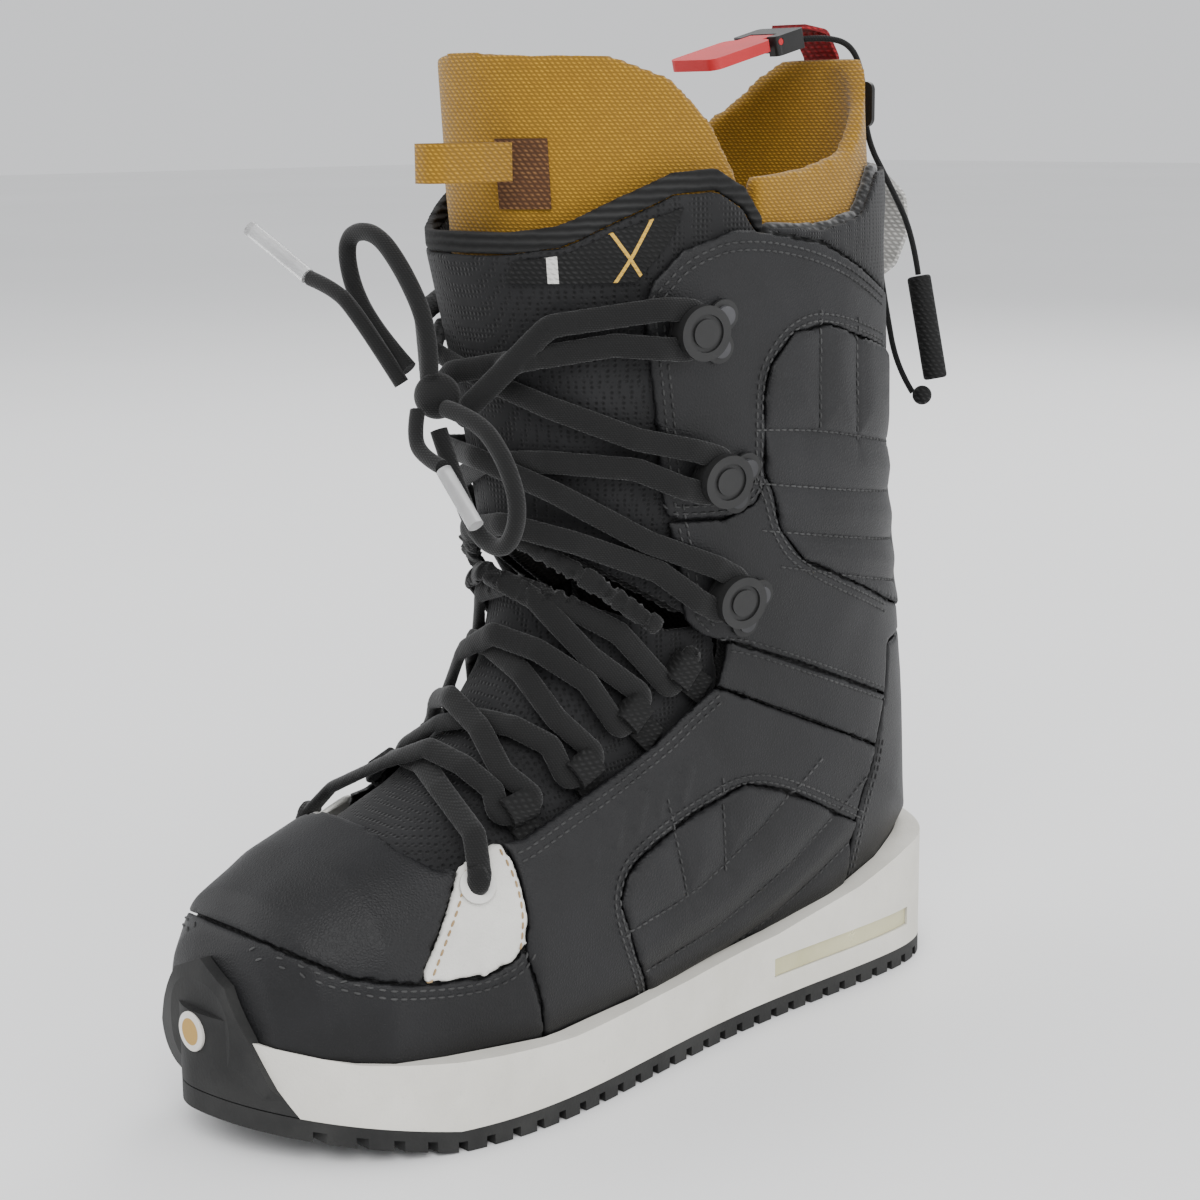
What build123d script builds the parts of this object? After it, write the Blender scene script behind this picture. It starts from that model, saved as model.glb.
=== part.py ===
from build123d import *
import math
import os

# Left snowboard boot with traditional lacing, in millimetres.
#
# The toe points along -Y, the lateral (outer) side is +X and +Z is up. The origin lies on the ground,
# on the centre lug of the outsole. The upper is a nest of lofted layers, all made from one table of
# sections, which are then cut into the sewn panels.

# ---------------------------------------------------------------- driving dimensions
LEATHER = 2.5  # thickness of the outer leather
LAYER_GAP = 0.4  # air between two nested layers
LINING = 3.6  # textile lining under the leather
LINER_FOAM = 6.0  # wall of the removable liner
TONGUE = 3.0  # wall of each tongue
SEAM = 0.3  # gap between two neighbouring panels
FLEX_GAP = 0.4  # gap between the foot and the cuff along the flex line
FLEX_PIVOT = (19.0, 127.0)  # y, z of the flex axis at the throat notch
LUG_HEIGHT = 3.5
LACE_D = 4.6
CORD_D = 2.2

LINING_OUT = LEATHER + LAYER_GAP
LINING_IN = LINING_OUT + LINING
LINER_OUT = LINING_IN + LAYER_GAP
LINER_IN = LINER_OUT + LINER_FOAM
SHELL_TONGUE_UPPER = (LINING_OUT, LINING_OUT + TONGUE)
SHELL_TONGUE_LOWER = (7.3, 10.3)  # set back, so that the lace loops stand clear of it
LINER_TONGUE = (11.1, 14.1)
WINDOW = (48.0, 126.0, 15.0, 22.0)  # y from, y to, z from, z to of the slot in the heel's wall
BADGE_AT = (-12.0, 37.0)  # x, z
BADGE_D = 13.0
TREAD_PITCH = 9.5
TREAD_GROOVE = 3.0
EYELET_AT = (3.68, 57.0)  # station and degrees on the form
LOOPS_AT = [(4.34, 43.0), (5.4, 53.0), (6.5, 58.0), (8.0, 64.0)]
HOOKS_AT = [(9.68, 73.0), (10.7, 71.0), (11.6, 68.0)]

# One section per row. The section's plane holds the X axis and the line from the front or top point
# to the back or bottom point: y, z of the first, y, z of the second, half width on the lateral side,
# on the medial side, centre x, place of the widest point (0 front, 1 back), roundness of the front
# and of the back half (2 is an ellipse), and how far the section moves back per mm of inset.
STATIONS = [
    (-154, 50, -154, 27, 15.0, 13.0, -12.0, 0.52, 2.40, 2.8, 1.00),
    (-150, 66, -150, 19, 30.0, 27.0, -11.0, 0.55, 2.50, 3.3, 0.80),
    (-141, 78, -141, 16, 41.0, 36.5, -9.5, 0.59, 2.50, 3.7, 0.50),
    (-122, 89, -123, 14, 50.0, 45.0, -6.0, 0.61, 2.40, 4.0, 0.20),
    (-73, 111, -68, 13, 54.0, 51.0, -0.5, 0.62, 2.25, 4.0, 0.00),
    (-54, 127, -20, 13, 51.0, 49.0, 0.0, 0.60, 2.20, 3.6, 0.00),
    (-43, 147, 42, 15, 47.0, 45.0, 0.0, 0.55, 2.20, 3.0, 0.00),
    (-41, 165, 105, 16, 46.5, 44.0, 0.0, 0.52, 2.20, 2.6, 0.00),
    (-41, 173.5, 133, 27, 47.2, 45.0, 0.0, 0.51, 2.20, 2.5, 0.00),
    (-41, 182, 152, 48, 48.0, 46.0, 0.0, 0.50, 2.20, 2.4, 0.00),
    (-42, 200, 148, 105, 51.0, 50.0, 0.0, 0.48, 2.20, 2.3, 0.00),
    (-46, 228, 135, 183, 55.0, 54.0, 0.0, 0.47, 2.20, 2.3, 0.00),
    (-58, 275, 131, 270, 57.5, 56.5, 0.0, 0.47, 2.20, 2.3, 0.00),
    (-65, 365, 131, 365, 56.0, 55.0, 0.0, 0.47, 2.20, 2.3, 0.00),
]
SECTION_POINTS = 12  # on each side

# Outline of the sole seen from above (x, y), starting at the toe tip and running down the lateral side.
SOLE_OUTLINE = [
    (-12, -160), (15, -153), (38, -135), (52, -110), (58, -80), (57, -50), (52, -15), (47, 25),
    (45, 70), (44, 110), (36, 140), (15, 154), (-2, 157), (-18, 152), (-36, 140), (-43, 110),
    (-43, 70), (-42, 25), (-46, -15), (-52, -50), (-55, -80), (-50, -110), (-42, -135), (-30, -152),
]  # fmt: skip

# Side view curves (y, z). The first ones limit a layer, the others are seams between two panels.
THROAT = [
    (-104, 300), (-104, 92.5), (-96, 85.5), (-88, 87), (-79, 91), (-66, 92), (-36, 102), (-8, 111.5),
    (10, 122), (19, 127), (22, 135), (23, 142), (12, 146), (6, 152), (0.5, 174), (-7.7, 202),
    (-12, 229), (-17.7, 258), (-15, 266), (-5, 276), (17, 282), (60, 275), (105, 257), (150, 246),
    (150, 400), (-104, 400),
]  # fmt: skip
FLAP = [
    (-112, 300), (-112, 80), (-96, 77), (-79, 81), (-66, 83), (-36, 93), (-8, 102), (12, 112),
    (24, 121), (27, 128), (28, 150), (29, 200), (31, 280), (31, 400), (-112, 400),
]  # fmt: skip
SHELL_TONGUE_TOP = [
    (-70, 283), (-50, 282), (-40, 284), (-25, 292), (-6, 300), (10, 301), (22, 295), (31, 284),
]  # fmt: skip
LINER_TONGUE_TOP = [(-60, 338), (-20, 336), (0, 329), (15, 316), (26, 300), (31, 285)]
LINER_TOP = [(28, 297), (60, 300), (85, 305), (105, 322), (118, 337), (150, 338)]
COLLAR_TOP = [(28, 284), (60, 282), (85, 286), (100, 300), (150, 303)]
LEATHER_TOP = [(-22, 258), (-15, 266), (-5, 276), (17, 282), (60, 275), (105, 257), (170, 240)]
BOARD_TOP = [(-170, 34), (-150, 25), (-141, 21.3), (-122, 19.2), (-98, 18.7), (170, 18.7)]
MIDSOLE_TOP = [
    (-170, 42), (-160, 40), (-133, 33), (-105, 30), (-60, 27), (0, 28), (50, 31), (95, 38),
    (125, 46), (170, 52),
]  # fmt: skip
RAND_SEAM = [(-170, 72), (-147, 69), (-133, 60), (-112, 55), (-90, 53), (-79, 56), (-76, 60)]
TOE_SIDE_SEAM = [(-76, 60), (-70, 40), (-64, 8)]
PATCH_FRONT_SEAM = [(-113.5, 50), (-111, 59), (-90, 87), (-85, 102)]
PATCH_REAR_SEAM = [(-76, 57), (-73, 70), (-73, 84), (-77, 102)]
LOWER_QUILT_SEAM = [
    (-8, 5), (-13, 24), (-24, 42), (-32, 63), (-28, 72), (-18, 77), (7, 85), (31, 90), (52, 84),
    (97, 61),
]  # fmt: skip
HEEL_SEAM = [(104.5, 91.5), (94, 62), (95, 30), (97, 5)]
STRAP_SEAM = [(15, 140), (24, 142.3), (53, 131), (113, 107)]
HOOK_PANEL_SEAM = [
    (-8, 187.5), (17, 186), (30, 190), (33, 197), (31, 225), (33, 236), (44, 246), (61, 248),
    (106, 236), (140, 225),
]  # fmt: skip
UPPER_QUILT_SEAM = [(32.5, 201), (37, 194), (42, 180), (55, 167), (110, 144), (150, 131)]
FLEX_LINE_END = (104.0, 90.0)  # the flex line is straight from the pivot to here
FLEX_REAR = (112.0, 127.5)  # then round the pivot to here, then straight out through the heel
BACKSTAY_HALF = 20.0
LOWER_TONGUE_END = [(-75, 180), (-54, 171.5), (5.8, 147.5), (60, 147.5)]
UPPER_TONGUE_START = [(-120, 233), (10, 152), (60, 152)]  # leaves room for the cuff to lean forward
LABEL = [(-50, 266), (-20, 266), (-9, 279), (-4, 289), (-27, 282), (-40, 275), (-50, 273)]
TOE_ARCH = [(-54, 0), (-52, 12), (-44, 24), (-36, 40), (-26, 54), (-12, 60), (2, 54), (12, 40),
            (20, 24), (28, 12), (30, 0)]  # x, z
FOOTBED_TOP = [(-170, 40), (-140, 34), (-110, 31), (-40, 30.5), (20, 33), (120, 32), (170, 33)]

HINGE_PIN_D = 2.4

# Routes in x, y, z, except where they are marked.
KNOT_AT = (-0.5, -64.0, 230.0)
KNOT_R = 7.5
KNOT_ENDS = [(-9.5, -60.5, 232.0), (9.5, -60.5, 226.0)]
BOW_LOOP_UP = [
    (1.5, -68.5, 238.5), (5, -71, 252), (-3, -74, 270), (-15, -76, 283), (-31, -76, 281),
    (-30, -75, 265), (-20, -73, 250), (-8.5, -69, 238.5),
]  # fmt: skip
BOW_LOOP_DOWN = [
    (8.5, -68, 227), (24, -68, 225), (37, -68, 214), (44, -68, 198), (37, -68, 184), (23, -68, 187),
    (13, -68, 203), (6, -69, 220),
]  # fmt: skip
TAIL_UP_ROUTE = [(-8.5, -72, 234), (-19, -82, 258), (-29, -83.5, 264.5), (-39, -84.5, 267)]
TAIL_DOWN_ROUTE = [(0.5, -73, 226), (3, -77, 218), (10, -78.5, 212.5), (19.5, -79, 210.5)]
AGLETS_AT = [
    ((-40.0, -84.8, 267.6), (-63.8, -90, 282.5)),
    ((20.6, -79.2, 209.6), (36.5, -80, 194)),
]
HEEL_LOOP = [(132.8, 299), (147, 297), (161, 287), (163, 274), (156, 262), (143, 256), (136, 251)]
RED_LOOP = [(125.3, 306), (125.3, 338), (119, 347), (107, 348.6)]  # y, z
LINER_CORD_ROUTE = [(1, 107, 344), (6, 115, 345), (11, 124, 342), (12.5, 128.6, 330), (13, 129.6, 309),
                    (16, 140, 292), (19, 150, 274), (20.5, 152, 258.5)]
HANDLE_TOP = (20.7, 152, 258.0)
HANDLE_BOTTOM = (28.5, 153.5, 220.0)
KNOB_AT = (25.0, 150.0, 213.8)
RETURN_CORD_ROUTE = [(20.8, 149.5, 214.6), (14, 148, 224), (11, 145, 246), (10.5, 140, 268),
                     (9.5, 134, 292), (9, 129.5, 308)]
GUIDE_AT = (12.0, 124.6, 321.0)
TONGUE_LOOP = [(16, -50.8), (14.5, -64), (14, -84), (25, -84), (24, -64), (21.5, -50.4)]  # x, y


# ---------------------------------------------------------------- the lofted form
def point_on(row, inset, angle):
    """Point of one section: angle 0 is its front or top, positive angles run to the lateral side."""
    y_front, z_front, y_back, z_back, lateral, medial, x_mid, widest, n_front, n_back, nose = row
    length = math.hypot(y_back - y_front, z_back - z_front)
    uy, uz = (y_back - y_front) / length, (z_back - z_front) / length
    s, c = math.sin(angle), math.cos(angle)
    n = n_front if c >= 0 else n_back
    back_off = nose * inset
    inset = min(inset, 0.39 * length)
    width = (lateral if s >= 0 else medial) - inset * (1 - 0.35 * nose)
    x = x_mid + math.copysign(width * abs(s) ** (2 / n), s)
    if c >= 0:
        part = widest * (1 - abs(c) ** (2 / n))
    else:
        part = widest + (1 - widest) * abs(c) ** (2 / n)
    along = inset + part * (length - 2 * inset)
    return Vector(x, y_front + uy * along + back_off, z_front + uz * along)


def half_section(row, inset, side):
    """Evenly spaced points of one side of a section, from its front to its back."""
    fine = [point_on(row, inset, side * math.pi * k / 360) for k in range(361)]
    run = [0.0]
    for here, there in zip(fine, fine[1:]):
        run.append(run[-1] + (there - here).length)
    points = [Vector(row[6], fine[0].Y, fine[0].Z)]
    j = 0
    for k in range(1, SECTION_POINTS):
        target = run[-1] * k / SECTION_POINTS
        while run[j + 1] < target:
            j += 1
        share = (target - run[j]) / (run[j + 1] - run[j])
        points.append(fine[j] + (fine[j + 1] - fine[j]) * share)
    points.append(Vector(row[6], fine[-1].Y, fine[-1].Z))
    return points


def section(row, inset):
    """Closed smooth wire of one section: the lateral half, then the medial half."""
    medial = half_section(row, inset, -1)
    medial.reverse()
    return Wire([Edge.make_spline(half_section(row, inset, 1)), Edge.make_spline(medial)])


def form(inset):
    """The boot's solid form, inset all round."""
    return Solid.make_loft([section(row, inset) for row in STATIONS], ruled=True)


def skin(outer, inner):
    """Skin between two insets of the form: closed all round, a flat ring at its top."""
    faces = []
    rims = []
    for inset in (outer, inner):
        solid = form(inset)
        cap = solid.faces().sort_by(Axis.Z)[-1]
        faces += [face for face in solid.faces() if face != cap]
        rims.append(cap.outer_wire())
    faces.append(Face(rims[0], [rims[1]]))
    return Solid(Shell(faces)).fix()


def form_point(station, degrees, inset=0.0):
    """Point on the form between two stations (stations count from 0 at the toe)."""
    i = min(int(station), len(STATIONS) - 2)
    share = station - i
    row = [a + (b - a) * share for a, b in zip(STATIONS[i], STATIONS[i + 1])]
    return point_on(row, inset, math.radians(degrees))


def form_plane(station, degrees, inset=0.0):
    """Plane on the form: z points outward and x towards the front centre line."""
    here = form_point(station, degrees, inset)
    step = math.copysign(2.0, degrees)
    front = form_point(station, degrees - step, inset) - form_point(station, degrees + step, inset)
    up = form_point(station + 0.06, degrees, inset) - form_point(station - 0.06, degrees, inset)
    out = front.cross(up)
    if out.X * math.copysign(1.0, degrees) < 0:
        out = out * -1
    return Plane(origin=here, x_dir=front, z_dir=out)


# ---------------------------------------------------------------- cutting tools
def prism(outline):
    """Solid along X over a closed y, z outline."""
    with BuildPart() as tool:
        with BuildSketch(Plane.YZ):
            with BuildLine():
                Polyline(*outline, close=True)
            make_face()
        extrude(amount=110, both=True)
    return tool.part


def ribbon(points, width):
    """Thin sheet along X that follows a y, z line, for cutting a seam."""
    with BuildPart() as tool:
        with BuildSketch(Plane.YZ):
            with BuildLine():
                Polyline(*points)
            trace(line_width=width)
        extrude(amount=110, both=True)
    return tool.part


def above(curve):
    """Everything above a y, z curve."""
    return prism([*curve, (curve[-1][0], 420), (curve[0][0], 420)])


def below(curve):
    """Everything below a y, z curve."""
    return prism([*curve, (curve[-1][0], -30), (curve[0][0], -30)])


def shifted(curve, dy, dz):
    return [(y + dy, z + dz) for y, z in curve]


def flex_path():
    """Y, z line that parts the foot from the cuff: it only opens when the cuff leans forward."""
    y0, z0 = FLEX_PIVOT
    radius = math.hypot(FLEX_LINE_END[0] - y0, FLEX_LINE_END[1] - z0)
    start = math.atan2(FLEX_LINE_END[1] - z0, FLEX_LINE_END[0] - y0)
    end = math.asin((FLEX_REAR[1] - z0) / radius)
    arc = []
    for k in range(1, 7):
        angle = start + (end - start) * k / 6
        arc.append((y0 + radius * math.cos(angle), z0 + radius * math.sin(angle)))
    lead = (y0 - 3, z0 + 3 * (z0 - FLEX_LINE_END[1]) / (FLEX_LINE_END[0] - y0))
    return [lead, FLEX_LINE_END, *arc, (170.0, FLEX_REAR[1] + 0.6)]


def panel(pieces, point):
    """The piece of a cut layer that lies nearest to a point."""
    probe = Vertex(*point)
    return min(pieces, key=lambda piece: piece.distance_to(probe))


# ---------------------------------------------------------------- shared solids
FLEX_CUT = ribbon(flex_path(), FLEX_GAP)
FLAP_CUT = prism(FLAP)
BELOW_BOARD = below(shifted(BOARD_TOP, 0, 0.3))


def cut(shape, *tools):
    """Separate solids left after all tools have been taken from a shape."""
    return (shape - [*tools]).solids()


def shell_of(outer, inner, *tools):
    """Layer between two insets of the form, cut by tools."""
    return cut(skin(outer, inner), *tools)


def seams(*lines):
    return [ribbon(line, SEAM) for line in lines]


def low_and_high(pieces):
    """The two pieces of a layer that the flex line has parted."""
    ordered = sorted(pieces, key=lambda piece: piece.center().Z)
    return ordered[0], ordered[-1]


# ---------------------------------------------------------------- leather layer
LEATHER_FOOT, LEATHER_CUFF = low_and_high(
    shell_of(0.0, LEATHER, prism(THROAT), BELOW_BOARD, FLEX_CUT)
)
FOOT_PANELS = cut(
    LEATHER_FOOT,
    *seams(RAND_SEAM, TOE_SIDE_SEAM, PATCH_FRONT_SEAM, PATCH_REAR_SEAM, LOWER_QUILT_SEAM, HEEL_SEAM),
)
BACKSTAY_CUT = [Pos(s * BACKSTAY_HALF, 130, 214) * Box(SEAM, 140, 228) for s in (1, -1)]
CUFF_WALLS = cut(LEATHER_CUFF, *BACKSTAY_CUT)
CUFF_PANELS = []
for side in (1, -1):
    wall = panel(CUFF_WALLS, (side * 55, 60, 200))
    CUFF_PANELS += cut(wall, *seams(STRAP_SEAM, HOOK_PANEL_SEAM, UPPER_QUILT_SEAM))

# ---------------------------------------------------------------- lining, liner and tongues
LINING_FOOT, LINING_CUFF = low_and_high(
    shell_of(LINING_OUT, LINING_IN, FLAP_CUT, BELOW_BOARD, FLEX_CUT, above(COLLAR_TOP))
)
LINER_FOOT, LINER_CUFF = low_and_high(
    shell_of(LINER_OUT, LINER_IN, FLAP_CUT, FLEX_CUT, above(LINER_TOP))
)
INNER_FLAP = prism([(y + (0.5 if y < -100 else -0.5), z + 0.5) for y, z in FLAP])
NEAR_PIVOT = prism([(26.0, 126), (22, 150), (60, 150), (60, 126)])
LOWER_TONGUE_CUT = [above(LOWER_TONGUE_END), NEAR_PIVOT]
UPPER_TONGUE_CUT = [below(UPPER_TONGUE_START)]


def tongue_of(insets, *tools):
    """Part of a layer that fills the front opening."""
    outer, inner = insets
    return cut(skin(outer, inner) & INNER_FLAP, *tools)[0]


SHELL_TONGUE = tongue_of(SHELL_TONGUE_UPPER, *UPPER_TONGUE_CUT, above(SHELL_TONGUE_TOP))
BINDING_LINE = shifted(SHELL_TONGUE_TOP, 0, -7)
TONGUE_BODY, TONGUE_RIM = low_and_high(cut(SHELL_TONGUE, ribbon(BINDING_LINE, SEAM)))

# ---------------------------------------------------------------- foot: sole
LAST = form(-0.3)
with BuildSketch() as sole_plan:
    with BuildLine():
        Spline(*SOLE_OUTLINE, periodic=True)
    make_face()

with BuildSketch(Plane.XZ) as toe_arch:
    with BuildLine():
        Polyline(*TOE_ARCH, close=True)
    make_face()

TOE_BLOCK = extrude(toe_arch.sketch, 200) & (Pos(0, -160, 30) * Box(200, 84, 100))
MIDSOLE_BAND = prism([(-170, 20), (-160, 18), (-105, 7), (170, 7), *reversed(MIDSOLE_TOP)])
SHANK_BOX = (24.0, 120.0, 1.8)
WINDOW_MIDDLE = ((WINDOW[0] + WINDOW[1]) / 2, (WINDOW[2] + WINDOW[3]) / 2)
WINDOW_SIZE = (WINDOW[1] - WINDOW[0], WINDOW[3] - WINDOW[2])

with BuildPart() as midsole:
    add(sole_plan.sketch)
    extrude(amount=56)
    add(MIDSOLE_BAND, mode=Mode.INTERSECT)
    add(LAST, mode=Mode.SUBTRACT)
    add(TOE_BLOCK, mode=Mode.SUBTRACT)
    with BuildSketch(Plane.YZ.offset(38)):
        with Locations(WINDOW_MIDDLE):
            Rectangle(*WINDOW_SIZE)
    extrude(amount=30, mode=Mode.SUBTRACT)
    with Locations((0, 0, 14)):
        Box(SHANK_BOX[0] + 0.4, SHANK_BOX[1] + 0.4, SHANK_BOX[2] + 0.4, mode=Mode.SUBTRACT)

with BuildPart() as heel_window_insert:
    with BuildSketch():
        add(scale(sole_plan.sketch, by=0.985, mode=Mode.PRIVATE))
    extrude(amount=40)
    with BuildSketch(Plane.YZ.offset(38.2)):
        with Locations(WINDOW_MIDDLE):
            Rectangle(WINDOW_SIZE[0] - 0.4, WINDOW_SIZE[1] - 0.4)
    extrude(amount=30, mode=Mode.INTERSECT)

LUG_CEILING = [(-170, 16.5), (-160, 14.5), (-105, 3.5), (170, 3.5)]
with BuildPart() as tread_grooves:
    with BuildSketch(Plane.XY.offset(-5)):
        with GridLocations(86, TREAD_PITCH, 2, 33):
            Rectangle(36, TREAD_GROOVE)
        with Locations((24.5, 0), (-24.5, 0)):
            Rectangle(TREAD_GROOVE, 230)
        with GridLocations(1, 2 * TREAD_PITCH, 1, 12):
            Rectangle(48, TREAD_GROOVE)
    extrude(amount=40)
    add(above(LUG_CEILING), mode=Mode.SUBTRACT)

with BuildPart() as outsole:
    add(sole_plan.sketch)
    extrude(amount=24)
    add(
        prism([(-170, 13), (-160, 11), (-105, 0), (170, 0), (170, 6.9), (-105, 6.9), (-160, 17.9),
               (-170, 19.9)]),
        mode=Mode.INTERSECT,
    )  # fmt: skip
    add(tread_grooves.part, mode=Mode.SUBTRACT)

with BuildPart() as toe_bumper:
    add(sole_plan.sketch)
    extrude(amount=44)
    add(form(-3.5))
    with BuildSketch(Plane.XY):
        with Locations((0, -150)):
            Rectangle(200, 56)
    extrude(amount=100, mode=Mode.INTERSECT)
    add(TOE_BLOCK, mode=Mode.INTERSECT)
    add(below([(-170, 20.3), (-160, 18.3), (-105, 7.3), (170, 7.3)]), mode=Mode.SUBTRACT)
    add(LAST, mode=Mode.SUBTRACT)
    with BuildSketch(Plane.XZ.offset(159.0)):
        with Locations(BADGE_AT):
            Circle(BADGE_D / 2 + 0.15)
    extrude(amount=10, mode=Mode.SUBTRACT)

with BuildPart() as toe_badge:
    with BuildSketch(Plane.XZ.offset(159.15)):
        with Locations(BADGE_AT):
            Circle(BADGE_D / 2)
    extrude(amount=1.4)
    fillet(toe_badge.edges().sort_by(Axis.Y)[0], 0.5)

with BuildPart() as insole_board:
    add(form(0.0) & below(BOARD_TOP))
    with Locations((0, 0, 14)):
        Box(SHANK_BOX[0] + 0.4, SHANK_BOX[1] + 0.4, SHANK_BOX[2] + 0.4, mode=Mode.SUBTRACT)

with BuildPart() as shank:
    with Locations((0, 0, 14)):
        Box(*SHANK_BOX)
    fillet(shank.edges().filter_by(Axis.Z), 6)

with BuildPart() as footbed:
    add(form(13.2) & below(FOOTBED_TOP))

# ---------------------------------------------------------------- foot: upper
with BuildPart() as toe_rand:
    add(panel(FOOT_PANELS, (-10, -152, 40)))

with BuildPart() as vamp:
    add(panel(FOOT_PANELS, (-6, -122, 88)))

EYELET_PLANES = [form_plane(EYELET_AT[0], side * EYELET_AT[1]) for side in (1, -1)]
with BuildPart() as eyelet_holes:
    for place in EYELET_PLANES:
        with BuildSketch(place.offset(-4)):
            Circle(4.0)
        extrude(amount=8)

with BuildPart() as eyelet_patch_lateral:
    add(panel(FOOT_PANELS, (48, -88, 72)))
    add(eyelet_holes.part, mode=Mode.SUBTRACT)

with BuildPart() as eyelet_patch_medial:
    add(panel(FOOT_PANELS, (-48, -88, 72)))
    add(eyelet_holes.part, mode=Mode.SUBTRACT)

with BuildPart() as eyelets:
    for place in EYELET_PLANES:
        with BuildSketch(place.offset(0.25)):
            Circle(5.9)
            Circle(3.1, mode=Mode.SUBTRACT)
        extrude(amount=0.9)
        with BuildSketch(place.offset(-2.4)):
            Circle(3.8)
            Circle(3.1, mode=Mode.SUBTRACT)
        extrude(amount=2.7)

with BuildPart() as quarter_lateral:
    add(panel(FOOT_PANELS, (52, -40, 60)))

with BuildPart() as quarter_medial:
    add(panel(FOOT_PANELS, (-50, -40, 60)))

with BuildPart() as quilt_lower_lateral:
    add(panel(FOOT_PANELS, (47, 40, 50)))

with BuildPart() as quilt_lower_medial:
    add(panel(FOOT_PANELS, (-45, 40, 50)))

with BuildPart() as heel_counter:
    add(panel(FOOT_PANELS, (0, 150, 70)))

with BuildPart() as lining_foot:
    add(LINING_FOOT)

with BuildPart() as liner_foot:
    add(LINER_FOOT)

with BuildPart() as shell_tongue_lower:
    add(tongue_of(SHELL_TONGUE_LOWER, *LOWER_TONGUE_CUT))

with BuildPart() as liner_tongue_lower:
    add(tongue_of(LINER_TONGUE, *LOWER_TONGUE_CUT))

LOOP_PLANES = [form_plane(s, side * deg) for s, deg in LOOPS_AT for side in (1, -1)]
with BuildPart() as lace_loops:
    for place in LOOP_PLANES:
        with BuildSketch(Plane(place.location.position, x_dir=place.x_dir, z_dir=place.y_dir).offset(-5)):
            with Locations((0, 2.6)):
                RectangleRounded(9.8, 8.4, 2.8)
            with Locations((-8.5, 5.5)):
                Rectangle(11, 1.6)
            with Locations((0, 2.6)):
                Circle(3.1, mode=Mode.SUBTRACT)
        extrude(amount=10)

# ---------------------------------------------------------------- cuff: upper
with BuildPart() as strap_lateral:
    add(panel(CUFF_PANELS, (46, 60, 118)))

with BuildPart() as strap_medial:
    add(panel(CUFF_PANELS, (-46, 60, 118)))

with BuildPart() as cuff_panel_lateral:
    add(panel(CUFF_PANELS, (50, 40, 160)))

with BuildPart() as cuff_panel_medial:
    add(panel(CUFF_PANELS, (-50, 40, 160)))

with BuildPart() as hook_panel_lateral:
    add(panel(CUFF_PANELS, (55, 10, 230)))

with BuildPart() as hook_panel_medial:
    add(panel(CUFF_PANELS, (-55, 10, 230)))

with BuildPart() as quilt_upper_lateral:
    add(panel(CUFF_PANELS, (50, 80, 200)))

with BuildPart() as quilt_upper_medial:
    add(panel(CUFF_PANELS, (-50, 80, 200)))

with BuildPart() as backstay:
    add(panel(CUFF_WALLS, (0, 140, 200)))

with BuildPart() as lining_cuff:
    add(LINING_CUFF)

COLLAR_CUT = [below(shifted(LEATHER_TOP, 0, 0.5)), above(shifted(COLLAR_TOP, 0, -2))]
IN_FRONT = prism([(-200, -50), (31, -50), (31, 420), (-200, 420)])
with BuildPart() as collar_pad:
    add(shell_of(0.4, LEATHER, IN_FRONT, *COLLAR_CUT))

with BuildPart() as liner_cuff:
    add(LINER_CUFF)

with BuildPart() as shell_tongue_upper:
    add(TONGUE_BODY)

with BuildPart() as tongue_binding:
    add(TONGUE_RIM)

with BuildPart() as tongue_label:
    add(skin(1.9, 2.6) & prism(LABEL))
    with BuildSketch(Plane.YZ):
        Rectangle(700, 900)
    extrude(amount=100, mode=Mode.INTERSECT)

with BuildPart() as liner_tongue_upper:
    add(tongue_of(LINER_TONGUE, *UPPER_TONGUE_CUT, above(LINER_TONGUE_TOP)))

with BuildPart() as liner_tongue_label:
    add(skin(10.3, 10.8))
    with Locations((19, -40, 300)):
        Box(14, 40, 22, mode=Mode.INTERSECT)


# ---------------------------------------------------------------- cuff: hooks and rivets
HOOK_PLANES = [form_plane(s, side * deg) for s, deg in HOOKS_AT for side in (1, -1)]
RIVETS_AT = [(-11, 5.2), (-11, -5.2)]

with BuildPart() as lace_hooks:
    for place in HOOK_PLANES:
        with BuildSketch(place.offset(0.2)):
            RectangleRounded(17, 12, 3)
            with Locations(*RIVETS_AT):
                Circle(5.3)
            with Locations(*RIVETS_AT):
                Circle(1.7, mode=Mode.SUBTRACT)
        extrude(amount=1.2)
        with BuildSketch(place.offset(1.0)):
            with Locations((5.5, 0)):
                RectangleRounded(5, 7, 1.5)
        extrude(amount=6.0)
        with BuildSketch(place.offset(6.6)):
            Circle(9)
        extrude(amount=3.2)
        with BuildSketch(place.offset(9.0)):
            Circle(6.2)
            Circle(4.6, mode=Mode.SUBTRACT)
        extrude(amount=2, mode=Mode.SUBTRACT)

with BuildPart() as hook_rivets:
    for place in HOOK_PLANES:
        with BuildSketch(place.offset(0.2)):
            with Locations(*RIVETS_AT):
                Circle(1.6)
        extrude(amount=1.6)
        with BuildSketch(place.offset(1.5)):
            with Locations(*RIVETS_AT):
                Circle(3.3)
        extrude(amount=1.4)


# ---------------------------------------------------------------- laces
def lead(place, x, y, z):
    """Point in a plane's own frame."""
    return place.origin + place.x_dir * x + place.y_dir * y + place.z_dir * z


def crossing(start, end, over):
    """Points on the way from one side to the other, over or under the strand that crosses it."""
    (s0, a0), (s1, a1) = start, end
    points = []
    for share, lift in ((0.15, 0.0), (0.33, 0.5), (0.5, 1.0), (0.67, 0.5), (0.85, 0.0)):
        station = s0 + (s1 - s0) * share
        depth = 2.6 if station < 8.3 else -2.0
        angle = a0 + (a1 - a0) * share
        points.append(form_point(station, angle, depth - (6.6 if over else 0.4) * lift))
    return points


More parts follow.
